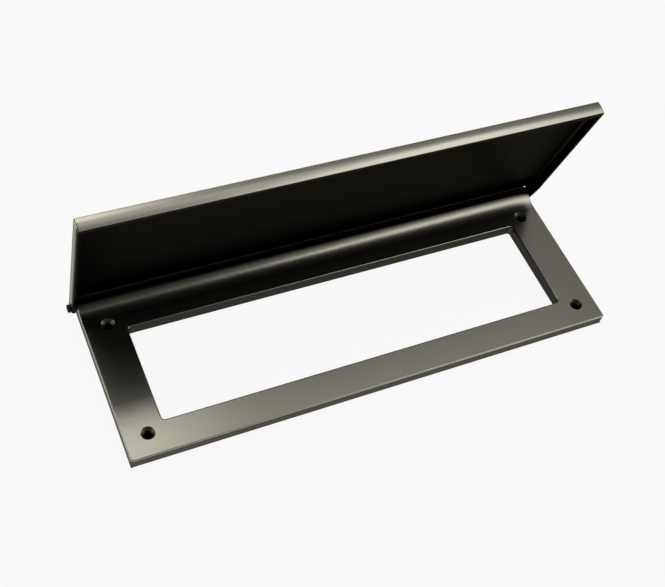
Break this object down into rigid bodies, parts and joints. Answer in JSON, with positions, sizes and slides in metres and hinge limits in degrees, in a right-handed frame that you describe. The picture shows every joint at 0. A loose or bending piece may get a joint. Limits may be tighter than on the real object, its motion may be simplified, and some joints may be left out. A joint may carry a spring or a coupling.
{
  "type": "letterbox draught excluder",
  "caption": "Rectangular frame for the inside of a letter slot, countersunk in its corners, with a lipped flap that swings on a long side and closes over it like a lid.",
  "frame": {"origin": "middle of the screw hole pattern, on the face that lies against the door", "axes": "+X along the slot, +Y across the slot towards the hinge, +Z away from the door into the room"},
  "size_m": [0.289, 0.0997, 0.1019],
  "materials": {
    "frame_metal": "dark plated, satin",
    "flap_metal": "dark plated, satin",
    "pin_steel": "turned, blackened"
  },
  "bodies": {
    "frame_body": {"frame": "frame_metal", "pivot_pin_left": "pin_steel", "pivot_pin_right": "pin_steel"},
    "flap_body": {"flap": "flap_metal"}
  },
  "joints": [
    {"name": "flap_hinge", "type": "hinge", "parent": "frame_body", "child": "flap_body", "pos_m": [0, 0.0494, 0.0055], "axis": [-1, 0, 0], "range_deg": [-78, 62]}
  ]
}
